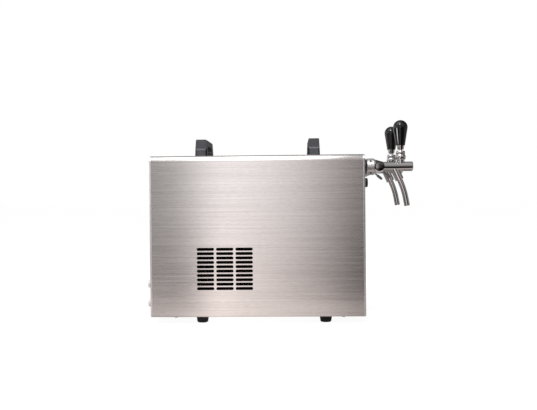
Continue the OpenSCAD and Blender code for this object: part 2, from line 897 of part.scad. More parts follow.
// The spout's path as a rod: bent, between straight ends that are swaged a little wider
module spout_rod(d, past) {
    end_d = d + 2 * spout_swage;
    along_socket() translate([0, 0, socket_l - spout_seat - past])
        cylinder(h = spout_seat + past + spout_lap, d = end_d);
    translate([spout_centre.x, 0, spout_centre.y]) rotate([90, 0, 0]) rotate([0, 0, spout_tip_lean])
        rotate_extrude(angle = spout_lean - spout_tip_lean) translate([spout_arc_r, 0]) circle(d = d);
    translate([spout_bend_end.x, 0, spout_bend_end.y]) rotate([0, 180 - spout_tip_lean, 0])
        translate([0, 0, -spout_lap]) cylinder(h = spout_end + past + spout_lap, d = end_d);
}

module spout(side) {
    color("#d8d8d8") at_tap(side) difference() {
        spout_rod(spout_d, 0);
        spout_rod(spout_bore, 1);
    }
}

module right_spout() {
    spout(RIGHT);
}

module left_spout() {
    spout(LEFT);
}

// One bead of the collar: a barrel between two heights, with its widest radius and its end radius
module bead(low, high, wide_r, end_r) {
    half_h = (high - low) / 2;
    swell = wide_r - end_r;
    arc_r = (half_h * half_h + swell * swell) / (2 * swell);
    intersection() {
        translate([wide_r - arc_r, low + half_h]) circle(arc_r);
        translate([0, low]) square([wide_r, high - low]);
    }
}

module lever_collars() {
    mouth = (lever_neck_r + part_gap) / cos(lever_tilt);
    mouth_top = collar_top - pivot_z + 1;
    color("#d8d8d8") at_both_taps() translate([lever_x, 0, 0]) difference() {
        rotate_extrude() {
            bead(collar_foot, collar_waist, collar_d / 2, collar_d / 2 - bead_swell);
            bead(collar_waist, collar_top, collar_top_d / 2, collar_top_d / 2 - bead_swell);
        }
        translate([0, 0, collar_foot - 1])
            cylinder(h = neck_top - collar_foot + 1 + seam_gap, d = neck_d + 2 * run_gap);
        translate([0, 0, neck_top]) cylinder(h = pivot_z - neck_top, d = ball_d + 2 * ball_gap);
        translate([0, 0, pivot_z]) {
            sphere(d = ball_d + 2 * ball_gap);
            cylinder(h = mouth_top, r1 = mouth, r2 = mouth + mouth_top * tan(lever_tilt));
        }
    }
}

// Moving pieces of the taps

module tap_lever(side) {
    color("#d8d8d8") at_tap(side) translate([lever_x, 0, 0]) {
        sphere(r = lever_tip_r);
        cylinder(h = pivot_z, r = lever_shank_r);
        translate([0, 0, pivot_z]) sphere(d = ball_d);
        translate([0, 0, pivot_z]) cylinder(h = ferrule_z - pivot_z, r = lever_neck_r);
        translate([0, 0, ferrule_z]) cylinder(h = grip_z - ferrule_z, d1 = ferrule_d, d2 = ferrule_top_d);
        translate([0, 0, grip_z]) cylinder(h = stud_l, r = lever_neck_r);
    }
}

module right_tap_lever() {
    tap_lever(RIGHT);
}

module left_tap_lever() {
    tap_lever(LEFT);
}

// A tapered grip that ends in a ball tangent to its side
module lever_grip(side) {
    foot_r = grip_d / 2;
    taper = atan((grip_top_d / 2 - foot_r) / grip_l);
    ball_r = (foot_r + grip_l * tan(taper)) * cos(taper) / (1 + sin(taper));
    ball_z = grip_l - ball_r;
    color("#111111") at_tap(side) translate([lever_x, 0, grip_z]) rotate_extrude() difference() {
        union() {
            polygon([
                [0, 0], [foot_r, 0], [ball_r * cos(taper), ball_z - ball_r * sin(taper)],
                [0, ball_z - ball_r * sin(taper)]
            ]);
            translate([0, ball_z]) intersection() {
                circle(ball_r);
                translate([0, -ball_r * sin(taper)]) square(2 * ball_r);
            }
        }
        translate([-1, -1]) square([lever_neck_r + run_gap + 1, stud_l + 1.5]);
    }
}

module right_lever_grip() {
    lever_grip(RIGHT);
}

module left_lever_grip() {
    lever_grip(LEFT);
}

// The valve stem: a head and a shoulder that hold the seal, a fork for the lever's tip and a guide
module valve_stem(side) {
    guide_r = barrel_bore / 2 - run_gap;
    head_r = seal_r - 2;
    head_x = seal_x0 - stem_head_l;
    shoulder_x = seal_x1 + stem_shoulder_l;
    guide_x = stem_fork_x[1] + stem_guide_l;
    color("#c8c8c8") at_tap(side) difference() {
        revolve_x() polygon([
            [0, head_x], [head_r, head_x], [head_r, seal_x0], [stem_r, seal_x0], [stem_r, seal_x1],
            [stem_shoulder_r, seal_x1], [stem_shoulder_r, shoulder_x], [stem_r, shoulder_x],
            [stem_r, stem_fork_x[0]], [stem_fork_r, stem_fork_x[0]], [stem_fork_r, stem_fork_x[1]],
            [guide_r, stem_fork_x[1]], [guide_r, guide_x], [0, guide_x]
        ]);
        translate([lever_x - stem_pocket, -stem_pocket, -stem_pocket])
            cube([2 * stem_pocket, 2 * stem_pocket, far]);
        translate([stem_fork_x[0] - 1, -far / 2, stem_fork_top])
            cube([stem_fork_x[1] - stem_fork_x[0] + 1, far, far]);
    }
}

module right_valve_stem() {
    valve_stem(RIGHT);
}

module left_valve_stem() {
    valve_stem(LEFT);
}

module valve_seal(side) {
    color("#303030") at_tap(side) translate([seal_x0, 0, 0]) along_x() difference() {
        cylinder(h = seal_l, r = seal_r);
        translate([0, 0, -1]) cylinder(h = seal_l + 2, r = stem_r);
    }
}

module right_valve_seal() {
    valve_seal(RIGHT);
}

module left_valve_seal() {
    valve_seal(LEFT);
}

// The flow caps: short drums with a slightly domed face
module flow_caps() {
    r = flow_cap_d / 2;
    dome_r = (r * r + cap_dome * cap_dome) / (2 * cap_dome);
    color("#d8d8d8") at_both_taps() translate([flow_x, -flow_boss_y, 0]) rotate([90, 0, 0]) rotate_extrude() {
        square([r, flow_cap_l - cap_dome]);
        intersection() {
            translate([0, flow_cap_l - dome_r]) circle(dome_r);
            square([r, flow_cap_l]);
        }
    }
}

// The flow lever: an eccentric shaft across the tap, a hub on its left and a pin with a thicker tip
module flow_lever(side) {
    journal_r = flow_shaft_d / 2;
    hub_y = flow_boss_y + part_gap;
    color("#d8d8d8") at_tap(side) translate([flow_x, 0, 0]) {
        translate([0, 1 - flow_boss_y, 0]) along_y()
            cylinder(h = flow_boss_y - 1 - crank_half, r = journal_r);
        translate([0, -crank_half, -flow_throw]) along_y() cylinder(h = 2 * crank_half, r = crank_r);
        translate([0, crank_half, 0]) along_y() cylinder(h = hub_y - crank_half, r = journal_r);
        translate([0, hub_y, 0]) along_y() cylinder(h = hub_l, r = hub_r);
        translate([0, hub_y + hub_l / 2, 0]) rotate([0, 90 + flow_pin_drop, 0]) {
            cylinder(h = flow_pin_l - pin_tip_r, d = flow_pin_d);
            translate([0, 0, flow_pin_l - pin_tip_l]) cylinder(h = pin_tip_l - pin_tip_r, r = pin_tip_r);
            translate([0, 0, flow_pin_l - pin_tip_r]) sphere(pin_tip_r);
        }
    }
}

module right_flow_lever() {
    flow_lever(RIGHT);
}

module left_flow_lever() {
    flow_lever(LEFT);
}

module flow_cone(side) {
    slot_x = 2 * (crank_r + ball_gap);
    slot_z = 2 * (flow_throw + crank_r + part_gap);
    color("white") at_tap(side) difference() {
        revolve_x() polygon([
            [0, cone_x[0]], [cone_r[0], cone_x[0]], [cone_r[1], cone_x[1]], [cone_r[1], cone_x[2]],
            [0, cone_x[2]]
        ]);
        translate([flow_x, 0, 0]) cube([slot_x, chamber_d, slot_z], center = true);
    }
}

module right_flow_cone() {
    flow_cone(RIGHT);
}

module left_flow_cone() {
    flow_cone(LEFT);
}

// Thermostat

module at_thermostat() {
    translate([x_front, 0, z_knob]) children();
}

module thermostat_knob() {
    rim_r = knob_d / 2;
    face_r = rim_r - 0.8;
    round_r = 2;
    groove_r = 0.8;
    color("#141414") at_thermostat() difference() {
        revolve_x() difference() {
            union() {
                polygon([
                    [0, knob_clear], [rim_r, knob_clear], [face_r, knob_reach - round_r],
                    [0, knob_reach - round_r]
                ]);
                translate([0, knob_reach - round_r]) square([face_r - round_r, round_r]);
                translate([face_r - round_r, knob_reach - round_r]) intersection() {
                    circle(round_r);
                    square(round_r);
                }
            }
            translate([-1, 0]) square([knob_recess_r + 1, knob_clear + knob_recess_h]);
            translate([-1, 0]) square([spindle_r + 1, spindle_out]);
        }
        for (i = [0:knob_grooves - 1]) rotate([i * 360 / knob_grooves, 0, 0])
            translate([5, 0, rim_r]) along_x() cylinder(h = knob_reach, r = groove_r);
    }
}

module thermostat_spindle() {
    color("gainsboro") at_thermostat() translate([-spindle_in, 0, 0]) along_x()
        cylinder(h = spindle_in + spindle_out, r = spindle_r);
}

module thermostat() {
    color("dimgray") at_thermostat() difference() {
        union() {
            translate([-sheet_t - thermo_size.x, -thermo_size.y / 2, -thermo_size.z / 2]) cube(thermo_size);
            translate([-sheet_t, 0, 0]) along_x() cylinder(h = sheet_t + bushing_out, r = bushing_r);
        }
        translate([-spindle_in - part_gap, 0, 0]) along_x() cylinder(h = far, r = spindle_r + run_gap);
    }
}

module thermostat_nut() {
    color("gainsboro") at_thermostat() along_x() difference() {
        hex_bar(thermo_nut_af, thermo_nut_t);
        translate([0, 0, -1]) cylinder(h = thermo_nut_t + 2, r = bushing_r + run_gap);
    }
}

module thermostat_sensor() {
    back = x_front - sheet_t - thermo_size.x;
    color("#b87333") {
        pipe([[back, 0, z_knob], [sensor_x, 0, z_knob], [sensor_x, 0, block_z1]], sensor_r, 6);
        translate([sensor_x, 0, block_z1 - bulb_l]) cylinder(h = bulb_l, r = bulb_r);
    }
}

// Cooling block and its insulation

module cooling_block() {
    color("lightgray") difference() {
        translate([block_x0, -block_y, block_z0])
            cube([block_x1 - block_x0, 2 * block_y, block_z1 - block_z0]);
        translate([sensor_x, 0, block_z1 - bulb_l - part_gap]) cylinder(h = far, r = bulb_r + run_gap);
    }
}

module insulation_shell() {
    size = [foam_x1 - foam_x0, 2 * foam_y, block_z1 - base_top];
    color("khaki") difference() {
        translate([foam_x0, -foam_y, base_top]) cube(size);
        translate([foam_x0 + foam_t, foam_t - foam_y, block_z0])
            cube([size.x - 2 * foam_t, size.y - 2 * foam_t, size.z]);
        translate([0, 0, base_top - 1]) at_feet() cylinder(h = screw_tail + 2, r = foot_screw_head_r);
    }
}

module insulation_lid() {
    hole = 2 * foam_t;
    color("khaki") difference() {
        translate([foam_x0, -foam_y, block_z1]) cube([foam_x1 - foam_x0, 2 * foam_y, foam_t]);
        for (x = inlet_drop_x) translate([x, -inlet_y, block_z1 - 1])
            cylinder(h = hole, r = line_r + hole_gap);
        for (side = [RIGHT, LEFT]) translate([outlet_x, side * tap_y, block_z1 - 1])
            cylinder(h = hole, r = line_r + hole_gap);
        translate([sensor_x, 0, block_z1 - 1]) cylinder(h = hole, r = sensor_r + hole_gap);
        translate([suction_x, comp_y, block_z1 - 1]) cylinder(h = hole, r = pipe_r + hole_gap);
        translate([capillary_x, drier_y, block_z1 - 1]) cylinder(h = hole, r = cap_pipe_r + hole_gap);
    }
}

// Refrigeration

module at_compressor_bolts() {
    for (turn = [0:90:270]) translate([comp_x, comp_y, 0]) rotate(turn) translate([comp_bolt_reach, 0, 0])
        children();
}

module compressor() {
    r = comp_d / 2;
    body_r = r - 4;
    weld_z = comp_h / 2;
    color("#1c1c1c") {
        translate([comp_x, comp_y, comp_shell_z0]) rotate_extrude() {
            square([body_r, comp_h - comp_dome_h]);
            translate([0, weld_z]) square([r, 5]);
            translate([0, comp_h - comp_dome_h]) square([body_r - comp_dome_h, comp_dome_h]);
            translate([body_r - comp_dome_h, comp_h - comp_dome_h]) intersection() {
                circle(comp_dome_h);
                square(comp_dome_h);
            }
        }
        for (dir = [-1, 1]) translate([comp_x, comp_y, stub_z]) rotate([0, dir * 90, 0])
            cylinder(h = r + stub_l, r = pipe_r + 1);
        translate([0, 0, comp_z0]) difference() {
            translate([comp_x, comp_y, comp_plate[1] / 2]) rotate(45)
                cube([comp_plate[0], comp_plate[0], comp_plate[1]], center = true);
            at_compressor_bolts() cylinder(h = 3 * comp_plate[1], r = comp_bolt_r + hole_gap, center = true);
        }
    }
}

module terminal_box() {
    color("#2a2a2a") translate([comp_x, comp_y, comp_shell_z0 + 12]) difference() {
        translate([-box_size.x / 2, comp_d / 2 - 4, 0]) cube(box_size);
        translate([0, 0, -1]) cylinder(h = box_size.z + 2, d = comp_d - 8);
        translate([0, 0, comp_h / 2 - 12]) cylinder(h = box_size.z, d = comp_d);
    }
}

module compressor_grommets() {
    color("#303030") translate([0, 0, base_top]) at_compressor_bolts() rotate_extrude()
        difference() {
            translate([comp_bolt_r + run_gap, 0]) square([grommet_r - comp_bolt_r - run_gap, grommet_h]);
            translate([grommet_r + 1, grommet_h / 2]) circle(2.5);
        }
}

module compressor_bolts() {
    head_h = 4;
    bolt_z0 = base_z + seam_gap;
    bolt_l = comp_shell_z0 - bolt_z0;
    color("gainsboro") translate([0, 0, bolt_z0]) at_compressor_bolts() {
        cylinder(h = bolt_l, r = comp_bolt_r);
        translate([0, 0, bolt_l]) hex_bar(3.4 * comp_bolt_r, head_h);
    }
}

// Heights of the condenser coil's passes
function coil_z(i) = cond_z0 + (i + 0.5) * coil_pitch;

module condenser_fins() {
    pitch = (cond_size[0] - 2 * fin_inset) / (fin_count - 1);
    first_x = cond_x0 + fin_inset - fin_t / 2;
    color("#3a3a3c") for (i = [0:fin_count - 1]) translate([first_x + i * pitch, 0, 0]) difference() {
        translate([0, cond_y0, base_top]) cube([fin_t, cond_depth, cond_z0 + cond_size[1] - base_top]);
        for (p = [0:coil_passes - 1]) translate([-1, cond_y, coil_z(p)]) along_x()
            cylinder(h = fin_t + 2, r = pipe_r);
    }
}

module condenser_coil() {
    color("#b87333") {
        for (p = [0:coil_passes - 1]) translate([cond_x0, cond_y, coil_z(p)]) along_x()
            cylinder(h = cond_size[0], r = pipe_r);
        for (p = [0:coil_passes - 2]) {
            front_end = p % 2 == 0;
            bend_x = front_end ? cond_x0 + cond_size[0] : cond_x0;
            translate([bend_x, cond_y, (coil_z(p) + coil_z(p + 1)) / 2])
                rotate([90, 0, 0]) rotate([0, 0, front_end ? -90 : 90])
                rotate_extrude(angle = 180) translate([coil_pitch / 2, 0]) circle(pipe_r);
        }
    }
}

module fan_shroud() {
    color("#242424") difference() {
        union() {
            translate([cond_x0, cond_y1, base_top])
                cube([cond_size[0], shroud_t, cond_z0 + cond_size[1] - base_top]);
            at_fan(cond_y1) cylinder(h = shroud_depth, r = shroud_r + shroud_t);
        }
        at_fan(cond_y1 - 1) cylinder(h = shroud_depth + 2, r = shroud_r);
    }
}

// The fan's axis, from a place along Y
module at_fan(y) {
    translate([comp_x, y, z_floor + vent_z]) along_y() children();
}

module fan_motor() {
    color("#303030") difference() {
        union() {
            at_fan(motor_y0) cylinder(h = motor_l, r = motor_r);
            at_fan(shroud_y1) for (turn = [45, 135]) rotate(turn) translate([0, 0, arm_t / 2 + part_gap])
                cube([2 * (shroud_r + shroud_t), arm_w, arm_t], center = true);
        }
        at_fan(shroud_y1 - 1) cylinder(h = motor_l, r = fan_shaft_r + run_gap);
    }
}

module fan_rotor() {
    width = fan_y1 - fan_y0;
    color("#181818") {
        at_fan(fan_y0) {
            cylinder(h = width, r = fan_hub_r);
            intersection() {
                cylinder(h = width, d = fan_d);
                for (i = [0:fan_blades - 1]) rotate(i * 360 / fan_blades)
                    translate([fan_d / 4, 0, width / 2]) rotate([90 - blade_pitch, 0, 0])
                        cube([fan_d / 2, 2 * width, blade_t], center = true);
            }
        }
        at_fan(fan_y1) cylinder(h = motor_l - 4, r = fan_shaft_r);
    }
}

// Rear fittings and lines

module beer_inlets() {
    color("whitesmoke") for (z = z_inlets) translate([x_back, -inlet_y, z]) revolve_x() difference() {
        union() {
            translate([0, -inlet_reach]) square([inlet_d / 2, inlet_reach]);
            translate([0, -inlet_flange_t]) square([inlet_flange_r, inlet_flange_t]);
            square([inlet_stem_r, inlet_in]);
        }
        translate([-1, -inlet_reach - 1]) square([inlet_bore / 2 + 1, inlet_depth + 1]);
        translate([-1, -inlet_reach - 1]) square([line_r - 0.55, inlet_reach + inlet_in + 2]);
    }
}

module inlet_nuts() {
    color("gainsboro") for (z = z_inlets) translate([x_back + sheet_t, -inlet_y, z]) along_x() difference() {
        cylinder(h = inlet_nut_t, r = inlet_nut_r, $fn = 6);
        translate([0, 0, -1]) cylinder(h = inlet_nut_t + 2, r = inlet_stem_r + run_gap);
    }
}

module beer_inlet_lines() {
    color("lightblue") for (i = [0, 1]) pipe([
        [x_back + inlet_in, -inlet_y, z_inlets[i]],
        [inlet_turn_x[i], -inlet_y, z_inlets[i]],
        [inlet_turn_x[i], -inlet_y, inlet_run_z[i]],
        [inlet_drop_x[i], -inlet_y, inlet_run_z[i]],
        [inlet_drop_x[i], -inlet_y, block_z1]
    ], line_r, bend_r);
}

module beer_outlet_lines() {
    color("lightblue") for (side = [RIGHT, LEFT]) pipe([
        [outlet_x, side * tap_y, block_z1],
        [outlet_x, side * tap_y, z_tap],
        [x_front - shank_in + line_seat, side * tap_y, z_tap]
    ], line_r, bend_r);
}

module suction_line() {
    color("#b87333") pipe([
        [comp_x + comp_d / 2 + stub_l, comp_y, stub_z],
        [suction_up_x, comp_y, stub_z],
        [suction_up_x, comp_y, suction_z],
        [suction_x, comp_y, suction_z],
        [suction_x, comp_y, block_z1]
    ], pipe_r, pipe_bend_r);
}

module discharge_line() {
    color("#b87333") pipe([
        [comp_x - comp_d / 2 - stub_l, comp_y, stub_z],
        [pipe_turn_x, comp_y, stub_z],
        [pipe_turn_x, comp_y, coil_top_z],
        [pipe_turn_x, cond_y, coil_top_z],
        [cond_x0, cond_y, coil_top_z]
    ], pipe_r, pipe_bend_r);
}

module liquid_line() {
    color("#b87333") {
        pipe([
            [cond_x0, cond_y, coil_low_z],
            [pipe_turn_x, cond_y, coil_low_z],
            [pipe_turn_x, drier_y, coil_low_z],
            [drier_x0, drier_y, coil_low_z]
        ], pipe_r, pipe_bend_r);
        pipe([
            [drier_x0 + drier_l, drier_y, coil_low_z],
            [capillary_up_x, drier_y, coil_low_z],
            [capillary_up_x, drier_y, capillary_z],
            [capillary_x, drier_y, capillary_z],
            [capillary_x, drier_y, block_z1]
        ], cap_pipe_r, 6);
    }
}

module filter_drier() {
    end = 8;
    color("#b87333") translate([drier_x0, drier_y, coil_low_z]) revolve_x() polygon([
        [0, 0], [pipe_r + 1, 0], [drier_r, end], [drier_r, drier_l - end], [cap_pipe_r + 1, drier_l],
        [0, drier_l]
    ]);
}

module cable_gland() {
    stem = gland_bore / 2 + 3;
    nut_t = 5;
    color("#1a1a1a") translate([x_back, gland_y, z_gland]) along_x() difference() {
        union() {
            translate([0, 0, -gland_reach]) cylinder(h = gland_reach - 3, r1 = stem, r2 = stem + 2.5);
            translate([0, 0, -4]) hex_bar(2 * stem + 6, 4);
            cylinder(h = gland_in, r = stem);
            translate([0, 0, sheet_t]) hex_bar(2 * stem + 6, nut_t);
        }
        translate([0, 0, -gland_reach - 1]) cylinder(h = gland_reach + gland_in + 2, d = gland_bore);
    }
}

casing_hood();
front_panel();
rear_panel();
base_pan();
rubber_feet();
foot_screws();
hood_screws();
rear_carry_handle();
front_carry_handle();
handle_screws();
wall_rosettes();
tap_shanks();
shank_nuts();
coupling_nuts();
right_tap_body();
left_tap_body();
barrel_plugs();
right_spout();
left_spout();
lever_collars();
flow_caps();
right_tap_lever();
left_tap_lever();
right_lever_grip();
left_lever_grip();
right_valve_stem();
left_valve_stem();
right_valve_seal();
left_valve_seal();
right_flow_lever();
left_flow_lever();
right_flow_cone();
left_flow_cone();
thermostat_knob();
thermostat_spindle();
thermostat();
thermostat_nut();
thermostat_sensor();
cooling_block();
insulation_shell();
insulation_lid();
compressor();
terminal_box();
compressor_grommets();
compressor_bolts();
condenser_fins();
condenser_coil();
fan_shroud();
fan_motor();
fan_rotor();
beer_inlets();
inlet_nuts();
beer_inlet_lines();
beer_outlet_lines();
suction_line();
discharge_line();
liquid_line();
filter_drier();
cable_gland();
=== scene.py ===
"""Looks for a portable over-counter beer cooler, built around its CAD solids."""
import math

import bpy
from mathutils import Matrix, Vector

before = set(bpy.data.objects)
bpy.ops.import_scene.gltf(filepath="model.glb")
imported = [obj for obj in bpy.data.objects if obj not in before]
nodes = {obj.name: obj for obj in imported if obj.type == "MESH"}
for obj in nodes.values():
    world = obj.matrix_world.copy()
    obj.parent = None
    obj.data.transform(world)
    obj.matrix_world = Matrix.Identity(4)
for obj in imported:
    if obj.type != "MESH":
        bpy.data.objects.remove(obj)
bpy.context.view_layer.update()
scene = bpy.context.scene
scene.view_settings.view_transform = "Standard"

# Camera, fitted to the photograph's edges
IMAGE_W = 537
FOCAL_PX = 715.0
SENSOR_MM = 36.0
CAMERA_AT = Vector((0.0261, -1.6021, 0.2606))
YAW = math.radians(1.891)
PITCH = math.radians(0.609)
ROLL = math.radians(-0.536)
NEAREST = 0.01
FARTHEST = 100


def add_camera():
    forward = Vector((-math.sin(YAW) * math.cos(PITCH), math.cos(YAW) * math.cos(PITCH), -math.sin(PITCH)))
    level = Vector((math.cos(YAW), math.sin(YAW), 0))
    up = level.cross(forward)
    right = level * math.cos(ROLL) + up * math.sin(ROLL)
    up = up * math.cos(ROLL) - level * math.sin(ROLL)
    data = bpy.data.cameras.new("photo_camera")
    data.sensor_fit = "HORIZONTAL"
    data.sensor_width = SENSOR_MM
    data.lens = SENSOR_MM * FOCAL_PX / IMAGE_W
    data.clip_start = NEAREST
    data.clip_end = FARTHEST
    camera = bpy.data.objects.new("photo_camera", data)
    scene.collection.objects.link(camera)
    turn = Matrix((right, up, -forward)).transposed().to_4x4()
    camera.matrix_world = Matrix.Translation(CAMERA_AT) @ turn
    scene.camera = camera


add_camera()

# Material helpers
MICRON = 0.000001
METAL = 1.0
BLACK = (0.0, 0.0, 0.0)


def scaled(color, factor, lift=0.0):
    return tuple(c * factor + lift for c in color)


class Paint:
    """A material with one Principled shader and short calls for the nodes that feed it."""

    def __init__(self, name, color, roughness, metallic=0.0, **sockets):
        self.material = bpy.data.materials.new(name)
        self.material.use_nodes = True
        self.tree = self.material.node_tree
        self.shader = self.tree.nodes["Principled BSDF"]
        self.set(self.shader, "Base Color", (*color, 1))
        self.set(self.shader, "Roughness", roughness)
        self.set(self.shader, "Metallic", metallic)
        for socket, value in sockets.items():
            self.set(self.shader, socket.replace("_", " ").title().replace("Ior", "IOR"), value)

    def set(self, node, socket, value):
        node.inputs[socket].default_value = value

    def node(self, kind, **settings):
        made = self.tree.nodes.new(kind)
        for key, value in settings.items():
            setattr(made, key, value)
        return made

    def link(self, out_socket, node, socket):
        self.tree.links.new(out_socket, node.inputs[socket])

    def feed(self, value, node, socket):
        """Links another node's output, or sets a plain number or colour."""
        if hasattr(value, "is_output"):
            self.link(value, node, socket)
        else:
            self.set(node, socket, value)

    def texture(self, kind, scale):
        """A texture on object coordinates in metres, with one scale for all axes or one for each."""
        coords = self.node("ShaderNodeTexCoord")
        mapping = self.node("ShaderNodeMapping")
        self.set(mapping, "Scale", scale if isinstance(scale, tuple) else (scale, scale, scale))
        self.link(coords.outputs["Object"], mapping, "Vector")
        made = self.node(kind)
        self.set(made, "Scale", 1.0)
        self.link(mapping.outputs["Vector"], made, "Vector")
        return made

    def noise(self, scale, detail=3.0, roughness=0.5):
        made = self.texture("ShaderNodeTexNoise", scale)
        self.set(made, "Detail", detail)
        self.set(made, "Roughness", roughness)
        return made.outputs["Fac"]

    def cells(self, scale):
        return self.texture("ShaderNodeTexVoronoi", scale).outputs

    def geometry(self, output):
        """The X, Y and Z of the surface's Normal or Position."""
        source = self.node("ShaderNodeNewGeometry")
        parts = self.node("ShaderNodeSeparateXYZ")
        self.link(source.outputs[output], parts, "Vector")
        return parts.outputs

    def spread(self, value, low, high, start=0.3, end=0.7):
        """Maps a value, by default one of a noise, to a range of numbers."""
        mapped = self.node("ShaderNodeMapRange")
        self.set(mapped, "From Min", start)
        self.set(mapped, "From Max", end)
        self.set(mapped, "To Min", low)
        self.set(mapped, "To Max", high)
        self.link(value, mapped, "Value")
        return mapped.outputs["Result"]

    def rise(self, value, start=0.3, end=0.7):
        return self.spread(value, 0.0, 1.0, start, end)

    def fall(self, value, start, end):
        return self.spread(value, 1.0, 0.0, start, end)

    def math(self, operation, a, b=0.0):
        made = self.node("ShaderNodeMath", operation=operation)
        self.feed(a, made, 0)
        self.feed(b, made, 1)
        return made.outputs[0]

    def total(self, *shares):
        """Adds up values, each times its share."""
        added = None
        for value, share in shares:
            part = self.math("MULTIPLY", value, share)
            added = part if added is None else self.math("ADD", added, part)
        return added

    def mix(self, factor, a, b):
        """A colour between two colours, by a factor from 0 to 1."""
        made = self.node("ShaderNodeMix", data_type="RGBA")
        first, second, result = 6, 7, 2
        self.link(factor, made, 0)
        for socket, value in ((first, a), (second, b)):
            self.feed((*value, 1) if isinstance(value, tuple) else value, made, socket)
        return made.outputs[result]

    def color(self, value):
        self.link(value, self.shader, "Base Color")

    def rough(self, value):
        self.link(value, self.shader, "Roughness")

    def bump(self, height, strength, microns):
        made = self.node("ShaderNodeBump")
        self.set(made, "Strength", strength)
        self.set(made, "Distance", microns * MICRON)
        self.link(height, made, "Height")
        self.link(made.outputs["Normal"], self.shader, "Normal")


def shade(material, *names):
    """Gives CAD nodes a material in place of their own."""
    for name in names:
        slots = nodes[name].data.materials
        slots.clear()
        slots.append(material)


# Brushed sheet: noise scales along X, Y and Z, and how much each sort of scratch shows
HAIR_SCALE = (14, 1500, 1500)
STREAK_SCALE = (2.2, 430, 430)
BAND_SCALE = (0.5, 80, 80)
SHORT_SCALE = (80, 800, 800)
STREAK_SHARE = 0.55
BAND_SHARE = 0.12
SHORT_SHARE = 0.33
GRAIN_AXIS = (1.0, 0.02, 0.0)

# Painted highlight on its fold: how far up the surface faces where the highlight starts and ends, and where
# it fades along X
FOLD_HIGHLIGHT = (0.95, 0.93, 0.92)
FOLD_HIGHLIGHT_STARTS = (0.06, 0.16)
FOLD_HIGHLIGHT_ENDS = (0.55, 0.75)
FOLD_HIGHLIGHT_FADES = (0.09, 0.14)


def brushed_steel(name, color, roughness):
    """Brushed sheet with its scratches along X, and a painted highlight where it is folded over the top."""
    paint = Paint(name, color, roughness, METAL, anisotropic=0.7)
    hair = paint.noise(HAIR_SCALE, detail=2.0)
    streak = paint.noise(STREAK_SCALE, detail=3.0, roughness=0.65)
    short = paint.noise(SHORT_SCALE, detail=2.0, roughness=0.6)
    band = paint.noise(BAND_SCALE, detail=2.0, roughness=0.5)
    scratches = paint.total((streak, STREAK_SHARE), (band, BAND_SHARE), (short, SHORT_SHARE))
    sheet = paint.mix(paint.rise(scratches, 0.4, 0.6), scaled(color, 0.88), scaled(color, 1.08))
    # Painted highlight: lighter where the fold faces partly up, fading out along X
    up = paint.geometry("Normal")["Z"]
    fold_highlight = paint.math("MULTIPLY", paint.rise(up, *FOLD_HIGHLIGHT_STARTS), paint.fall(up, *FOLD_HIGHLIGHT_ENDS))
    fold_highlight = paint.math("MULTIPLY", fold_highlight, paint.fall(paint.geometry("Position")["X"], *FOLD_HIGHLIGHT_FADES))
    paint.color(paint.mix(fold_highlight, sheet, FOLD_HIGHLIGHT))
    paint.rough(paint.spread(hair, roughness - 0.05, roughness + 0.05))
    paint.bump(hair, strength=0.12, microns=40)
    tangent = paint.node("ShaderNodeVectorMath", operation="CROSS_PRODUCT")
    paint.link(paint.node("ShaderNodeNewGeometry").outputs["Normal"], tangent, 0)
    paint.set(tangent, 1, GRAIN_AXIS)
    paint.link(tangent.outputs["Vector"], paint.shader, "Tangent")
    return paint.material


# Plated metals
HAIRLINE_SCALE = (2200, 500, 900)
CAP_AXIS = (0.2108, 0.324)
# Painted shade ring round the flow cap's rim: its radius and softness
CAP_SHADE_R = 0.0083
CAP_SHADE_SOFT = 0.0004


def wipe(paint, roughness):
    """Leaves faint wipe marks in a gloss."""
    marks = paint.noise(90, detail=4.0, roughness=0.6)
    paint.rough(paint.spread(marks, roughness * 0.6, roughness * 1.6))


def polished(name, color, roughness):
    """Polished plating with hairlines."""
    paint = Paint(name, color, roughness, METAL)
    wipe(paint, roughness)
    paint.bump(paint.noise(HAIRLINE_SCALE, detail=2.0), strength=0.05, microns=20)
    return paint.material


def flow_cap_plating(name, color, roughness):
    """Dark polished plating with painted shade in a ring round the cap's rim."""
    paint = Paint(name, color, roughness, METAL)
    at = paint.geometry("Position")
    off_x = paint.math("SUBTRACT", at["X"], CAP_AXIS[0])
    off_z = paint.math("SUBTRACT", at["Z"], CAP_AXIS[1])
    radius = paint.math("POWER", paint.total((off_x, off_x), (off_z, off_z)), 0.5)
    # Painted shade: a dark ring round the cap's rim
    rim_shade = paint.rise(radius, CAP_SHADE_R - CAP_SHADE_SOFT, CAP_SHADE_R + CAP_SHADE_SOFT)
    paint.color(paint.mix(rim_shade, color, scaled(color, 0.12)))
    wipe(paint, roughness)
    return paint.material


def satin(name, color, roughness, reach):
    """Satin plating with a fine blasted grain, and painted shade in holes that are narrower than its reach
    in metres.
    """
    paint = Paint(name, color, roughness, METAL)
    grain = paint.noise(900, detail=3.0, roughness=0.6)
    paint.rough(paint.spread(grain, roughness - 0.06, roughness + 0.06))
    paint.bump(grain, strength=0.12, microns=40)
    # Painted shade: darker where holes are narrower than the reach
    hole_shade = paint.node("ShaderNodeAmbientOcclusion", samples=8, inside=False)
    paint.set(hole_shade, "Distance", reach)
    paint.color(paint.mix(paint.rise(hole_shade.outputs["AO"], 0.15, 0.7), scaled(color, 0.06), color))
    return paint.material


# Plain metals

def turned(name, color, roughness):
    """Bare metal with an uneven, turned or drawn surface."""
    paint = Paint(name, color, roughness, METAL)
    marks = paint.noise(700, detail=3.0)
    paint.color(paint.mix(paint.rise(marks), scaled(color, 0.85), color))
    paint.rough(paint.spread(marks, roughness - 0.08, roughness + 0.08))
    return paint.material


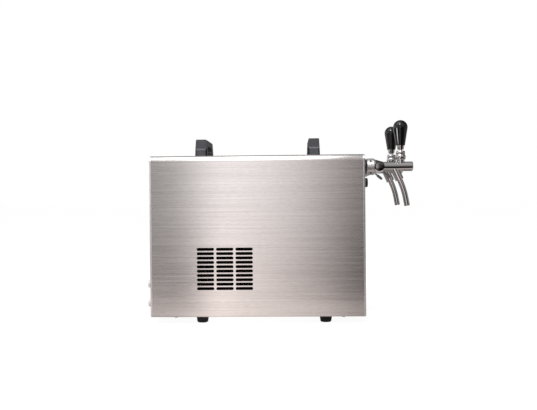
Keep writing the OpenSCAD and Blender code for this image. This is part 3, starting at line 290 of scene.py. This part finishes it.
def spangled(name, color):
    """Galvanised sheet with its crystal spangle."""
    paint = Paint(name, color, roughness=0.45, metallic=0.9)
    crystal = paint.node("ShaderNodeSeparateColor")
    paint.link(paint.cells(90)["Color"], crystal, "Color")
    paint.color(paint.mix(crystal.outputs["Red"], scaled(color, 0.8), scaled(color, 1.1)))
    paint.rough(paint.spread(crystal.outputs["Green"], 0.34, 0.56, start=0.0, end=1.0))
    return paint.material


# Plastics, rubber and foam
HANDLE = (0.069, 0.0678, 0.0765)
# Painted light on the handles: a lift below the parting line, a highlight along it, and shade on the sides
HANDLE_LOW_PAINTED_LIGHT = 1.38
HANDLE_LINE_HIGHLIGHT = 2.6
HANDLE_SIDE_SHADE = 0.06


def moulded(name, color, roughness, grain=1400, microns=30, gloss=0.4):
    """Moulded plastic with a fine grain and slightly uneven gloss."""
    paint = Paint(name, color, roughness, specular_ior_level=gloss)
    cloud = paint.noise(40, detail=3.0)
    sand = paint.noise(grain, detail=2.0)
    paint.color(paint.mix(paint.rise(cloud), scaled(color, 0.85), scaled(color, 1.12)))
    paint.rough(paint.spread(sand, roughness - 0.06, roughness + 0.06))
    paint.bump(sand, strength=0.4, microns=microns)
    return paint.material


def handle_moulding(name, line_z):
    """Grained plastic with painted light below the parting line, a painted highlight along that line, and
    painted shade that darkens its sides to black.
    """
    paint = Paint(name, HANDLE, roughness=0.55, specular_ior_level=0.16)
    # Painted shade: faces turned along X go nearly black
    side_shade = paint.rise(paint.math("ABSOLUTE", paint.geometry("Normal")["X"]), 0.2, 0.55)
    height = paint.math("SUBTRACT", paint.geometry("Position")["Z"], line_z)
    # Painted light: the part below the line is lifted, and a painted highlight runs along the line
    above = paint.rise(height, -0.001, 0.002)
    line_highlight = paint.fall(paint.math("ABSOLUTE", height), 0.0012, 0.002)
    tone = paint.mix(above, scaled(HANDLE, HANDLE_LOW_PAINTED_LIGHT), HANDLE)
    tone = paint.mix(line_highlight, tone, scaled(HANDLE, HANDLE_LINE_HIGHLIGHT))
    tone = paint.mix(side_shade, tone, scaled(HANDLE, HANDLE_SIDE_SHADE))
    cloud = paint.noise(40, detail=3.0)
    sand = paint.noise(1400, detail=2.0)
    paint.color(paint.mix(paint.spread(cloud, 0.0, 0.2), tone, BLACK))
    paint.rough(paint.spread(sand, 0.44, 0.56))
    paint.bump(sand, strength=0.4, microns=30)
    return paint.material


def glossy_black(name, color):
    """Polished phenolic plastic: near black under a clear gloss."""
    paint = Paint(name, color, roughness=0.09, specular_ior_level=0.5)
    ripple = paint.noise(160, detail=2.0)
    wear = paint.noise(420, detail=4.0, roughness=0.65)
    paint.color(paint.mix(paint.rise(wear), color, scaled(color, 1.8, lift=0.002)))
    paint.rough(paint.spread(wear, 0.05, 0.08))
    paint.bump(ripple, strength=0.02, microns=80)
    return paint.material


def rubber(name, color):
    """Porous rubber with dust on it."""
    paint = Paint(name, color, roughness=0.75, specular_ior_level=0.3)
    dust = paint.noise(70, detail=4.0, roughness=0.6)
    pores = paint.noise(1800, detail=2.0)
    paint.color(paint.mix(paint.rise(dust, 0.45, 0.75), color, scaled(color, 2.2, lift=0.01)))
    paint.rough(paint.spread(dust, 0.66, 0.88))
    paint.bump(pores, strength=0.35, microns=40)
    return paint.material


def foamed(name, color):
    """Insulating foam with open cells."""
    paint = Paint(name, color, roughness=0.9, specular_ior_level=0.2)
    cloud = paint.noise(30, detail=3.0)
    paint.color(paint.mix(paint.rise(cloud), scaled(color, 0.82), color))
    paint.bump(paint.cells(500)["Distance"], strength=0.5, microns=400)
    return paint.material


# Casing and feet
shade(brushed_steel("hood_steel", (0.62, 0.596, 0.580), roughness=0.24), "casing_hood")
shade(satin("panel_steel", (0.78, 0.765, 0.755), roughness=0.34, reach=0.001), "front_panel", "rear_panel")
shade(spangled("galvanised", (0.62, 0.63, 0.64)), "base_pan")
shade(rubber("foot_rubber", (0.012, 0.012, 0.012)), "rubber_feet")
shade(handle_moulding("rear_handle_plastic", line_z=0.3651), "rear_carry_handle")
shade(handle_moulding("front_handle_plastic", line_z=0.3667), "front_carry_handle")
shade(
    turned("screw_steel", (0.70, 0.70, 0.70), roughness=0.32),
    "foot_screws", "hood_screws", "handle_screws", "shank_nuts", "tap_shanks", "thermostat_nut",
    "thermostat_spindle", "compressor_bolts",
)
shade(
    moulded("black_plastic", (0.012, 0.012, 0.0125), roughness=0.42),
    "wall_rosettes", "thermostat_knob", "thermostat", "terminal_box", "fan_shroud", "fan_motor",
    "fan_rotor", "cable_gland",
)

# Taps
shade(
    polished("chrome", (0.56, 0.548, 0.54), roughness=0.055),
    "right_tap_body", "left_tap_body", "barrel_plugs", "right_spout", "left_spout",
    "lever_collars", "right_tap_lever", "left_tap_lever",
)
shade(flow_cap_plating("dark_chrome", (0.19, 0.182, 0.178), roughness=0.07), "flow_caps")
shade(satin("satin_chrome", (0.70, 0.688, 0.68), roughness=0.36, reach=0.006), "coupling_nuts")
shade(
    satin("dark_nickel", (0.30, 0.302, 0.30), roughness=0.3, reach=0.002),
    "right_flow_lever", "left_flow_lever",
)
shade(glossy_black("grip_plastic", (0.003, 0.003, 0.0033)), "right_lever_grip", "left_lever_grip")
shade(turned("valve_steel", (0.66, 0.66, 0.67), roughness=0.28), "right_valve_stem", "left_valve_stem")
shade(
    rubber("seal_rubber", (0.016, 0.016, 0.016)),
    "right_valve_seal", "left_valve_seal", "compressor_grommets",
)
shade(
    moulded("white_plastic", (0.88, 0.88, 0.87), roughness=0.35, grain=900, microns=10, gloss=0.5),
    "beer_inlets", "inlet_nuts", "right_flow_cone", "left_flow_cone",
)

# Cooling parts
shade(
    moulded("line_plastic", (0.72, 0.78, 0.80), roughness=0.25, grain=300, microns=10, gloss=0.5),
    "beer_inlet_lines", "beer_outlet_lines",
)
shade(
    turned("copper", (0.78, 0.43, 0.28), roughness=0.3),
    "suction_line", "discharge_line", "liquid_line", "filter_drier", "thermostat_sensor",
)
shade(
    moulded("black_paint", (0.010, 0.010, 0.010), roughness=0.38, grain=260, gloss=0.5),
    "compressor",
)
shade(
    moulded("coil_paint", (0.006, 0.005, 0.005), roughness=0.8, grain=600, microns=20, gloss=0.1),
    "condenser_fins", "condenser_coil",
)
shade(turned("aluminium", (0.66, 0.66, 0.68), roughness=0.42), "cooling_block")
shade(foamed("foam", (0.78, 0.70, 0.46)), "insulation_shell", "insulation_lid")

# Stage: world, floor and lamps
WORLD_LIGHT = 0.3
FLOOR_HALF = 30.0
FLOOR_TONE = 0.8
FLOOR_TONE_SEEN = 0.3
FLOOR_GLOW_SEEN = 0.905


def seen_directly(tree):
    """1 for rays from the camera and for those that metal and glass send on, otherwise 0."""
    path = tree.nodes.new("ShaderNodeLightPath")
    total = path.outputs["Is Camera Ray"]
    for name in ("Is Glossy Ray", "Is Transmission Ray"):
        both = tree.nodes.new("ShaderNodeMath")
        both.operation = "MAXIMUM"
        tree.links.new(total, both.inputs[0])
        tree.links.new(path.outputs[name], both.inputs[1])
        total = both.outputs[0]
    return total


def by_sight(tree, unseen, seen):
    """One number for rays that only carry light, and another for those that see the surface."""
    level = tree.nodes.new("ShaderNodeMapRange")
    level.inputs["To Min"].default_value = unseen
    level.inputs["To Max"].default_value = seen
    tree.links.new(seen_directly(tree), level.inputs["Value"])
    return level.outputs["Result"]


def bare_material(name):
    """A material with nothing but its output."""
    material = bpy.data.materials.new(name)
    material.use_nodes = True
    tree = material.node_tree
    tree.nodes.remove(tree.nodes["Principled BSDF"])
    return material, tree, tree.nodes["Material Output"].inputs["Surface"]


def add_world():
    world = bpy.data.worlds.new("studio")
    scene.world = world
    world.use_nodes = True
    tree = world.node_tree
    background = tree.nodes["Background"]
    background.inputs["Color"].default_value = (1, 1, 1, 1)
    tree.links.new(by_sight(tree, WORLD_LIGHT, 1.0), background.inputs["Strength"])


def add_floor():
    """Pale paper that keeps the object's shadow and looks nearly white."""
    mesh = bpy.data.meshes.new("floor")
    corners = [(-FLOOR_HALF, -FLOOR_HALF, 0), (FLOOR_HALF, -FLOOR_HALF, 0),
               (FLOOR_HALF, FLOOR_HALF, 0), (-FLOOR_HALF, FLOOR_HALF, 0)]
    mesh.from_pydata(corners, [], [(0, 1, 2, 3)])
    floor = bpy.data.objects.new("floor", mesh)
    scene.collection.objects.link(floor)
    material, tree, surface = bare_material("floor_white")
    paper = tree.nodes.new("ShaderNodeBsdfDiffuse")
    tree.links.new(by_sight(tree, FLOOR_TONE, FLOOR_TONE_SEEN), paper.inputs["Color"])
    glow = tree.nodes.new("ShaderNodeEmission")
    tree.links.new(by_sight(tree, 0.0, FLOOR_GLOW_SEEN), glow.inputs["Strength"])
    both = tree.nodes.new("ShaderNodeAddShader")
    tree.links.new(paper.outputs[0], both.inputs[0])
    tree.links.new(glow.outputs[0], both.inputs[1])
    tree.links.new(both.outputs[0], surface)
    mesh.materials.append(material)


def add_softbox(name, at, aim, size, watts):
    """A rectangular lamp that faces a point."""
    data = bpy.data.lights.new(name, "AREA")
    data.shape = "RECTANGLE"
    data.size, data.size_y = size
    data.energy = watts
    lamp = bpy.data.objects.new(name, data)
    scene.collection.objects.link(lamp)
    lamp.location = at
    lamp.rotation_euler = (Vector(aim) - Vector(at)).to_track_quat("-Z", "Y").to_euler()


# Studio cards, which only reflections see: lengths in metres, angles in degrees, glows of 1 for white
MIRROR_EYE = (0.026, 1.33)
TAPS_AT = (0.24, -0.06)
WALL_TINT = (1.0, 0.970, 0.985)
RIGHT_TINT = (1.0, 0.90, 0.895)
FLOOR_TINT = (1.0, 0.89, 0.86)
PANEL_CORE = 0.3


def smooth(start, end, x):
    """0 up to the start and 1 past the end, with a soft step between them."""
    t = min(1.0, max(0.0, (x - start) / (end - start)))
    return t * t * (3 - 2 * t)


def fade(start, end, x):
    return 1 - smooth(start, end, x)


def between(a, b, share):
    return a + (b - a) * share


def tinted(level, first, second, share):
    return tuple(level * between(a, b, share) for a, b in zip(first, second))


def azimuth_of(x, y, centre=(0, 0)):
    """Degrees to the right of the camera's side, seen from a centre."""
    return math.degrees(math.atan2(x - centre[0], -(y - centre[1])))


def panel(azimuth, glow, middle, half):
    """Glow of a panel that falls to 0 at half its width to either side of its middle."""
    off = abs((azimuth - middle + 180) % 360 - 180)
    return glow * fade(PANEL_CORE * half, half, off)


def glow_sheet(name, rows, columns, point, tone, hides_from=None):
    """A sheet of studio card with its own glow at each point.

    Where a point hides from things nearer than some distance, the alpha of its colour holds that distance.
    """
    verts, faces = [], []
    for row in range(rows + 1):
        for column in range(columns + 1):
            verts.append(point(column / columns, row / rows))
    width = columns + 1
    for row in range(rows):
        for column in range(columns):
            corner = row * width + column
            faces.append((corner, corner + 1, corner + width + 1, corner + width))
    mesh = bpy.data.meshes.new(name)
    mesh.from_pydata(verts, [], faces)
    layer = mesh.color_attributes.new("tone", "FLOAT_COLOR", "POINT")
    for i, vert in enumerate(verts):
        layer.data[i].color = (*tone(*vert), hides_from(*vert) if hides_from else 1)
    sheet = bpy.data.objects.new(name, mesh)
    scene.collection.objects.link(sheet)
    material, tree, surface = bare_material(name)
    attribute = tree.nodes.new("ShaderNodeVertexColor")
    attribute.layer_name = "tone"
    glow = tree.nodes.new("ShaderNodeEmission")
    tree.links.new(attribute.outputs["Color"], glow.inputs["Color"])
    if hides_from:
        path = tree.nodes.new("ShaderNodeLightPath")
        past = tree.nodes.new("ShaderNodeMath")
        past.operation = "GREATER_THAN"
        tree.links.new(path.outputs["Ray Length"], past.inputs[0])
        tree.links.new(attribute.outputs["Alpha"], past.inputs[1])
        tree.links.new(past.outputs[0], glow.inputs["Strength"])
    tree.links.new(glow.outputs[0], surface)
    mesh.materials.append(material)
    sheet.visible_camera = False
    sheet.visible_diffuse = False
    sheet.visible_shadow = False
    sheet.visible_transmission = False


# Tall softbox behind the camera, placed by azimuth from the mirrored camera
BOX_GLOW = 1.15
BOX_GLOW_ON_PAPER = 0.5
BOX_EDGE = -6.2
BOX_SPILL = 0.17
BOX_SPILL_AT = (-23, -15)
BOX_RIM = (0.26, -5.8, 1.6)

# The width of its left edge, the start and end of its fade to the right, and the curve of that fade
BOX_ON_DOME = (3.8, -3.6, 5.7, 1.5)
BOX_ON_PAPER = (3.8, -4.0, 6.6, 1.0)
BOX_ON_FLOOR = (2.4, -4.5, 5.6, 1.0)


def box_level(x, y, edge, fade_from, fade_to, curve):
    """Light of the softbox: a soft left edge, and a slow fade to the right."""
    azimuth = azimuth_of(x, y, MIRROR_EYE)
    rise = BOX_SPILL * smooth(*BOX_SPILL_AT, azimuth)
    rise += (1 - BOX_SPILL) * smooth(BOX_EDGE - edge, BOX_EDGE, azimuth)
    rise += panel(azimuth, *BOX_RIM)
    faded = min(1.0, max(0.0, (azimuth - fade_from) / (fade_to - fade_from)))
    return rise * (1 - faded ** curve)


# Dome: walls with panels, each with its glow, azimuth and half width, and a ceiling over them
DOME_R = 2.6
DOME_Z = 0.2
DOME_LOW = -4.4
WALL_TONE = 0.2
WALL_PANELS = ((0.5, 180, 60), (0.25, 95, 45), (1.1, -95, 50), (0.55, -42, 22), (-0.12, 36, 30))
WALL_TINT_RISES = (-2, 9)
WALL_TINT_FADES = (25, 60)
CEILING_TONE = 0.36
CEILING_RIGHT_LOSS = 0.26
CEILING_RIGHT_X = (0.5, 1.4)
CEILING_FRONT_Y = (-0.1, 0.25)
CEILING_FRONT_GLOW = 0.14
CEILING_BOX_GLOW = 0.75
CEILING_BOX_X = (-0.05, 0.36)
CEILING_LEFT_LOSS = 0.7
CEILING_LEFT_X = (-0.6, -0.15)
CEILING_LOW_LEFT = 22
CEILING_LOW_RIGHT = 5
CEILING_LOW_X = (-0.5, 0.5)
CEILING_BLEND = 18
FILL = (0.4, 42, 26)
FILL_RISES = (8, 16)
FILL_FADES = (50, 75)


def dome_point(u, v):
    azimuth = math.radians(-180 + 360 * u)
    height = math.radians(between(DOME_LOW, 90, v))
    out = DOME_R * math.cos(height)
    return (out * math.sin(azimuth), -out * math.cos(azimuth), DOME_Z + DOME_R * math.sin(height))


def dome_tone(x, y, z):
    azimuth = azimuth_of(x, y)
    height = math.degrees(math.asin((z - DOME_Z) / DOME_R))
    wall = WALL_TONE + BOX_GLOW * box_level(x, y, *BOX_ON_DOME)
    wall += sum(panel(azimuth, *each) for each in WALL_PANELS)
    front = CEILING_FRONT_GLOW + CEILING_BOX_GLOW * fade(*CEILING_BOX_X, x)
    front *= fade(*CEILING_FRONT_Y, y) * (1 - CEILING_LEFT_LOSS * fade(*CEILING_LEFT_X, x))
    ceiling = CEILING_TONE - CEILING_RIGHT_LOSS * smooth(*CEILING_RIGHT_X, x) + front
    start = between(CEILING_LOW_LEFT, CEILING_LOW_RIGHT, smooth(*CEILING_LOW_X, x))
    share = smooth(start, start + CEILING_BLEND, height)
    fill = panel(azimuth, *FILL) * smooth(*FILL_RISES, height) * fade(*FILL_FADES, height)
    right = smooth(*WALL_TINT_RISES, azimuth) * fade(*WALL_TINT_FADES, azimuth) * (1 - share)
    return tinted(between(wall, ceiling, share) + fill, WALL_TINT, RIGHT_TINT, right)


# Mat: pale paper round the object, shaded below it, and a dark floor past the paper
MAT_HALF = 2.5
MAT_Z = 0.003
PAPER_TONE = 0.76
PAPER_X = 0.66
PAPER_Y = -0.38
PAPER_EDGE = 0.05
SHADE_LOSS = 0.6
SHADE_X = 0.36
SHADE_Y = -0.155
SHADE_EDGE = 0.03
DULL_CENTRE = (0.19, -0.1)
DULL_PANEL = (0.2, 0, 50)
DULL_X = (0.08, 0.16)
DARK_TONE = 0.02
DARK_PANEL = (0.16, -14, 5)
AROUND_GLOW = 0.28
AROUND_GAP = (AROUND_GLOW, 0, 110)
AHEAD_CENTRE = (0, 0.3)
AHEAD_PANEL = (1.0, 0, 75)


def mat_point(u, v):
    return (MAT_HALF * (2 * u - 1), MAT_HALF * (2 * v - 1), MAT_Z)


def mat_tone(x, y, z):
    shaded = SHADE_LOSS * fade(0.0, SHADE_EDGE, max(SHADE_Y - y, abs(x) - SHADE_X))
    dull = panel(azimuth_of(x, y, DULL_CENTRE), *DULL_PANEL) * smooth(*DULL_X, x)
    paper = (PAPER_TONE - dull) * (1 - shaded) + BOX_GLOW_ON_PAPER * box_level(x, y, *BOX_ON_PAPER)
    dark = DARK_TONE + panel(azimuth_of(x, y, MIRROR_EYE), *DARK_PANEL)
    dark += AROUND_GLOW - panel(azimuth_of(x, y), *AROUND_GAP)
    dark += BOX_GLOW * box_level(x, y, *BOX_ON_FLOOR)
    past = smooth(0.0, PAPER_EDGE, max(PAPER_Y - y, abs(x) - PAPER_X))
    ahead = panel(azimuth_of(x, y, AHEAD_CENTRE), *AHEAD_PANEL)
    return tinted(between(paper, dark, past), WALL_TINT, FLOOR_TINT, ahead)


# Strip: a bright card on the floor that draws the streak on the grips
STRIP_GLOW = 16.0
STRIP_NEAR = 1.25
STRIP_FAR = 2.5
STRIP_LEFT = -74.0
STRIP_RIGHT = -60.0
STRIP_Z = 0.006
STRIP_SPARE = 0.03


def strip_point(u, v):
    azimuth = math.radians(between(STRIP_LEFT, STRIP_RIGHT, u))
    away = between(STRIP_NEAR, STRIP_FAR, v)
    return (TAPS_AT[0] + away * math.sin(azimuth), TAPS_AT[1] - away * math.cos(azimuth), STRIP_Z)


def strip_tone(x, y, z):
    return scaled(WALL_TINT, STRIP_GLOW)


def strip_distance(x, y, z):
    """How far the taps are from the strip: the casing is nearer and stays free of its glare."""
    return math.hypot(x - TAPS_AT[0], y - TAPS_AT[1]) - STRIP_SPARE


add_world()
add_floor()
glow_sheet("studio_dome", 60, 360, dome_point, dome_tone)
glow_sheet("studio_mat", 250, 250, mat_point, mat_tone)
glow_sheet("studio_strip", 12, 4, strip_point, strip_tone, strip_distance)
add_softbox("overhead", at=(-0.75, -0.65, 2.0), aim=(-0.75, -0.65, 0), size=(2.0, 1.5), watts=16)
add_softbox("key", at=(-0.21, -1.39, 1.9), aim=(0.1, 0, 0.3), size=(0.3, 0.24), watts=20)
